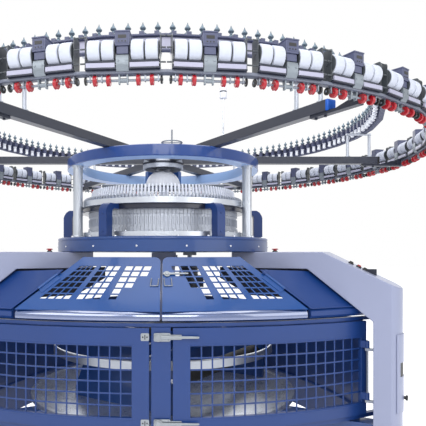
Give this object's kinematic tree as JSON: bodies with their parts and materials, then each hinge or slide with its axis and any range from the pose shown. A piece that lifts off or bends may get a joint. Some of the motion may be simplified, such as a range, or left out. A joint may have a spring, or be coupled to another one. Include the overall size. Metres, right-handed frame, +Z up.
{
  "type": "circular knitting machine",
  "caption": "Circular knitting machine on gooseneck legs, with curved mesh doors, a knitting head and rings of yarn feeders overhead.",
  "frame": {"origin": "on the floor under the axis of the needle cylinder, which is the middle of the bounding box", "axes": "+Z up along the axis, the doors face -Y and +X is to the right of someone at the doors' side looking along +Y"},
  "size_m": [3.4682, 3.474, 2.187],
  "materials": {
    "bed_blue": "satin",
    "black_plastic": "matt",
    "blue_plastic": "matt",
    "bright_steel": "brushed",
    "dark_slate": "satin",
    "dark_steel": "brushed",
    "door_blue": "gloss",
    "leg_paint": "satin",
    "red_plastic": "gloss",
    "rubber": "matt",
    "slate": "satin",
    "white_plastic": "gloss",
    "white_yarn": "matt"
  },
  "bodies": {
    "frame": {"leg_front_right": "leg_paint", "leg_rear": "leg_paint", "leg_front_left": "leg_paint", "levelling_feet": "dark_steel", "base_frame": "bed_blue", "drive_mounts": "dark_steel", "front_frame": "door_blue", "bed_plate": "bed_blue", "gear_cover": "dark_steel", "cam_base_ring": "bright_steel", "cam_boxes": "bright_steel", "sinker_cap_ring": "door_blue", "cap_brackets": "door_blue", "feeder_ring": "bright_steel", "yarn_guides": "white_plastic", "drive_motor": "dark_slate", "drive_belt": "rubber", "uprights": "bright_steel", "top_ring": "bed_blue", "ring_arms": "slate", "arm_caps": "blue_plastic", "arm_hub": "dark_slate", "fan_motor": "dark_steel", "yarn_hoop": "dark_steel", "signal_lamp": "white_plastic", "ring_supports": "dark_slate", "outer_rail": "dark_slate", "bay_modules": "slate", "yarn_packages": "white_yarn", "drive_units": "slate", "inner_rail": "slate", "yarn_feeders": "slate", "door_hinge_rods": "dark_steel", "filler_panels": "door_blue", "rear_guards": "door_blue", "button_bezels": "black_plastic", "yarn_wheels": "red_plastic"},
    "cylinder": {"needle_cylinder": "bright_steel", "main_gear": "dark_steel"},
    "drive_shaft": {"drive_shaft": "dark_steel"},
    "motor_pulley": {"motor_pulley": "dark_steel"},
    "dust_fan": {"dust_fan": "white_plastic"},
    "takedown": {"bottom_disc": "bright_steel", "takedown_frame": "bed_blue"},
    "roller_front": {"takedown_roller_front": "rubber"},
    "roller_rear": {"takedown_roller_rear": "rubber"},
    "winding_roll": {"winding_roll": "rubber"},
    "door_right": {"door_right": "door_blue"},
    "door_left": {"door_left": "door_blue"},
    "latch_upper": {"latch_lever_upper": "bright_steel"},
    "latch_lower": {"latch_lever_lower": "bright_steel"},
    "lid_right": {"lid_right": "door_blue"},
    "lid_left": {"lid_left": "door_blue"},
    "lid_latch": {"lid_latch_lever": "bright_steel"},
    "leg_panel": {"leg_panel": "leg_paint"},
    "button_start": {"button_start": "black_plastic"},
    "button_halt": {"button_halt": "red_plastic"},
    "button_jog": {"button_jog": "black_plastic"},
    "button_stop_right": {"button_stop_right": "red_plastic"},
    "button_stop_left": {"button_stop_left": "red_plastic"}
  },
  "joints": [
    {"name": "cylinder_spin", "type": "hinge", "parent": "frame", "child": "cylinder", "pos_m": [0, 0, 1.24], "axis": [0, 0, 1], "continuous": true},
    {"name": "takedown_spin", "type": "hinge", "parent": "frame", "child": "takedown", "pos_m": [0, 0, 0.25], "axis": [0, 0, 1], "continuous": true},
    {"name": "drive_shaft_spin", "type": "hinge", "parent": "frame", "child": "drive_shaft", "pos_m": [0.21219, 0.58298, 1.2], "axis": [0, 0, 1], "continuous": true},
    {"name": "motor_spin", "type": "hinge", "parent": "frame", "child": "motor_pulley", "pos_m": [0.21219, 0.77299, 1.12], "axis": [0, 0, 1], "continuous": true},
    {"name": "fan_spin", "type": "hinge", "parent": "frame", "child": "dust_fan", "pos_m": [0, 0, 1.75], "axis": [0, 0, 1], "continuous": true},
    {"name": "roller_front_spin", "type": "hinge", "parent": "takedown", "child": "roller_front", "pos_m": [0.03167, -0.02136, 0.69], "axis": [0.5592, 0.829, 0], "continuous": true},
    {"name": "roller_rear_spin", "type": "hinge", "parent": "takedown", "child": "roller_rear", "pos_m": [-0.03167, 0.02136, 0.69], "axis": [0.5592, 0.829, 0], "continuous": true},
    {"name": "winding_spin", "type": "hinge", "parent": "takedown", "child": "winding_roll", "pos_m": [0.37307, -0.25164, 0.48], "axis": [0.5592, 0.829, 0], "continuous": true},
    {"name": "door_right_hinge", "type": "hinge", "parent": "frame", "child": "door_right", "pos_m": [1.15375, -0.71597, 0.545], "axis": [0, 0, 1], "range_deg": [0, 80]},
    {"name": "door_left_hinge", "type": "hinge", "parent": "frame", "child": "door_left", "pos_m": [-1.15375, -0.71597, 0.545], "axis": [0, 0, -1], "range_deg": [0, 80]},
    {"name": "latch_upper_turn", "type": "hinge", "parent": "door_right", "child": "latch_upper", "pos_m": [-0.013, -0.98, 0.773], "axis": [0, 1, 0], "range_deg": [0, 90]},
    {"name": "latch_lower_turn", "type": "hinge", "parent": "door_right", "child": "latch_lower", "pos_m": [-0.013, -0.98, 0.333], "axis": [0, -1, 0], "range_deg": [0, 90]},
    {"name": "lid_right_hinge", "type": "hinge", "parent": "frame", "child": "lid_right", "pos_m": [0.45899, -0.67044, 1.18566], "axis": [-0.7205, 0.366, 0.5891], "range_deg": [0, 95]},
    {"name": "lid_left_hinge", "type": "hinge", "parent": "frame", "child": "lid_left", "pos_m": [-0.45899, -0.67044, 1.18566], "axis": [-0.7205, -0.366, -0.5891], "range_deg": [0, 95]},
    {"name": "lid_latch_turn", "type": "hinge", "parent": "lid_right", "child": "lid_latch", "pos_m": [0.02966, -0.80999, 1.08698], "axis": [0.1248, -0.7672, 0.6292], "range_deg": [0, 90]},
    {"name": "leg_panel_hinge", "type": "hinge", "parent": "frame", "child": "leg_panel", "pos_m": [1.35063, -0.68972, 0.548], "axis": [0, 0, 1], "range_deg": [0, 100]},
    {"name": "button_start_press", "type": "slide", "parent": "frame", "child": "button_start", "axis": [-0.378, 0.2182, -0.8997], "range_m": [0, 0.004], "stiffness_N_per_m": 300},
    {"name": "button_halt_press", "type": "slide", "parent": "frame", "child": "button_halt", "axis": [-0.378, 0.2182, -0.8997], "range_m": [0, 0.004], "stiffness_N_per_m": 300},
    {"name": "button_jog_press", "type": "slide", "parent": "frame", "child": "button_jog", "axis": [-0.378, 0.2182, -0.8997], "range_m": [0, 0.004], "stiffness_N_per_m": 300},
    {"name": "button_stop_right_press", "type": "slide", "parent": "frame", "child": "button_stop_right", "axis": [0, 0, -1], "range_m": [0, 0.004], "stiffness_N_per_m": 400},
    {"name": "button_stop_left_press", "type": "slide", "parent": "frame", "child": "button_stop_left", "axis": [0, 0, -1], "range_m": [0, 0.004], "stiffness_N_per_m": 400}
  ],
  "couplings": [
    {"joint": "takedown_spin", "follows": "cylinder_spin", "ratio": 1},
    {"joint": "drive_shaft_spin", "follows": "cylinder_spin", "ratio": -9.3333},
    {"joint": "motor_spin", "follows": "cylinder_spin", "ratio": -16.333},
    {"joint": "roller_front_spin", "follows": "cylinder_spin", "ratio": 2},
    {"joint": "roller_rear_spin", "follows": "cylinder_spin", "ratio": -2}
  ]
}
